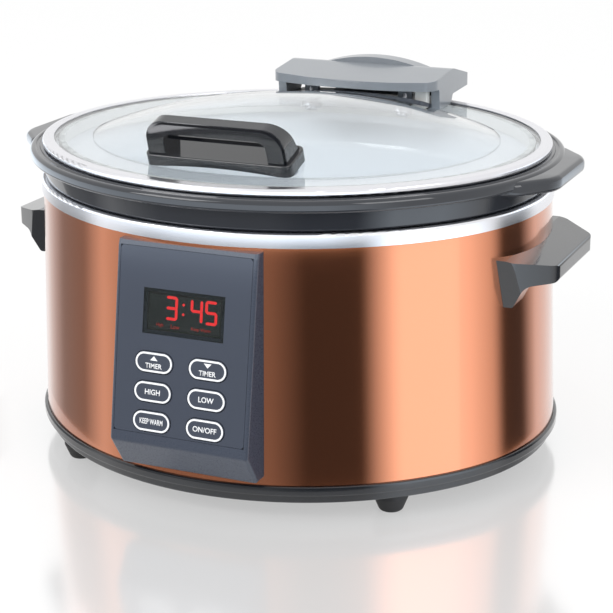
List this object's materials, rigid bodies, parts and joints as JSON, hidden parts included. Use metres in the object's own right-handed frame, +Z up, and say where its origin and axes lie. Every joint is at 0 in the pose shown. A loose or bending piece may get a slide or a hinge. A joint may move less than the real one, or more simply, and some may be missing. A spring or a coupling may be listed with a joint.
{
  "type": "slow cooker",
  "caption": "Oval countertop slow cooker: copper-coloured steel body with a tilted key panel, lift-out glazed crock with lugs, and a domed glass lid on a rear lift-off hinge.",
  "frame": {"origin": "on the table, under the middle of the whole footprint, side handles, panel and hinge tower included", "axes": "+X runs to the right along the front, -Y is the front with the key panel, +Y is the back with the lid's hinge, +Z is up"},
  "size_m": [0.35, 0.333, 0.2159],
  "materials": {
    "copper_steel": "copper-coloured metallic coat on sheet steel, glossy",
    "bright_steel": "bright stainless steel, fine satin",
    "plain_steel": "zinc-plated steel",
    "coated_aluminium": "matt aluminised sheet",
    "heater_foil": "foil-faced heating element",
    "black_phenolic": "moulded black phenolic, glossy",
    "grey_plastic": "moulded grey plastic, glossy",
    "slate_plastic": "moulded dark slate plastic, soft gloss",
    "slate_overlay": "printed overlay, satin",
    "slate_key": "moulded key with a printed outline, satin",
    "smoked_window": "smoked clear plastic",
    "display_block": "seven-segment display block",
    "circuit_board": "laminate with components",
    "black_glaze": "black glazed stoneware, opaque",
    "clear_glass": "clear tempered glass",
    "silicone": "white silicone",
    "black_rubber": "moulded black rubber"
  },
  "bodies": {
    "housing": {"base_tray": "black_phenolic", "outer_housing": "copper_steel", "top_rim_band": "bright_steel", "heating_well": "coated_aluminium", "heater_band": "heater_foil", "thermostat": "plain_steel", "power_board": "circuit_board", "panel_bezel": "slate_plastic", "panel_fascia": "slate_overlay", "display_window": "smoked_window", "led_display": "display_block", "control_board": "circuit_board", "hinge_tower": "black_phenolic", "cord_inlet": "black_rubber", "side_handle_right": "black_phenolic", "side_handle_left": "black_phenolic", "foot_1": "black_rubber", "base_screw_1": "plain_steel", "tower_screw_1": "plain_steel", "foot_2": "black_rubber", "base_screw_2": "plain_steel", "tower_screw_2": "plain_steel", "foot_3": "black_rubber", "base_screw_3": "plain_steel", "tower_screw_3": "plain_steel", "foot_4": "black_rubber", "base_screw_4": "plain_steel", "tower_screw_4": "plain_steel", "side_screw_right_1": "plain_steel", "side_screw_left_1": "plain_steel", "side_screw_right_2": "plain_steel", "side_screw_left_2": "plain_steel"},
    "crock": {"crock": "black_glaze"},
    "lid": {"lid_rim": "bright_steel", "lid_glass": "clear_glass", "lid_gasket": "silicone", "lid_handle": "black_phenolic", "hinge_bracket": "grey_plastic", "hinge_pin": "plain_steel", "hinge_cap": "black_phenolic", "cap_pad": "silicone", "grip_screw_1": "plain_steel", "grip_screw_2": "plain_steel", "grip_washer_1": "plain_steel", "grip_washer_2": "plain_steel", "hinge_screw_1": "plain_steel", "hinge_screw_2": "plain_steel", "hinge_washer_1": "plain_steel", "hinge_washer_2": "plain_steel"},
    "key_timer_up": {"key_timer_up": "slate_key"},
    "key_timer_down": {"key_timer_down": "slate_key"},
    "key_high": {"key_high": "slate_key"},
    "key_low": {"key_low": "slate_key"},
    "key_keep_warm": {"key_keep_warm": "slate_key"},
    "key_on_off": {"key_on_off": "slate_key"}
  },
  "joints": [
    {"name": "crock_lift", "type": "slide", "parent": "housing", "child": "crock", "axis": [0, 0, 1], "range_m": [0, 0.17]},
    {"name": "lid_hinge", "type": "hinge", "parent": "crock", "child": "lid", "pos_m": [0, 0.14807, 0.19], "axis": [-1, 0, 0], "range_deg": [0, 95]},
    {"name": "key_timer_up_press", "type": "slide", "parent": "housing", "child": "key_timer_up", "axis": [0, 0.9861, -0.166], "range_m": [0, 0.0006], "stiffness_N_per_m": 500},
    {"name": "key_timer_down_press", "type": "slide", "parent": "housing", "child": "key_timer_down", "axis": [0, 0.9861, -0.166], "range_m": [0, 0.0006], "stiffness_N_per_m": 500},
    {"name": "key_high_press", "type": "slide", "parent": "housing", "child": "key_high", "axis": [0, 0.9861, -0.166], "range_m": [0, 0.0006], "stiffness_N_per_m": 500},
    {"name": "key_low_press", "type": "slide", "parent": "housing", "child": "key_low", "axis": [0, 0.9861, -0.166], "range_m": [0, 0.0006], "stiffness_N_per_m": 500},
    {"name": "key_keep_warm_press", "type": "slide", "parent": "housing", "child": "key_keep_warm", "axis": [0, 0.9861, -0.166], "range_m": [0, 0.0006], "stiffness_N_per_m": 500},
    {"name": "key_on_off_press", "type": "slide", "parent": "housing", "child": "key_on_off", "axis": [0, 0.9861, -0.166], "range_m": [0, 0.0006], "stiffness_N_per_m": 500}
  ]
}
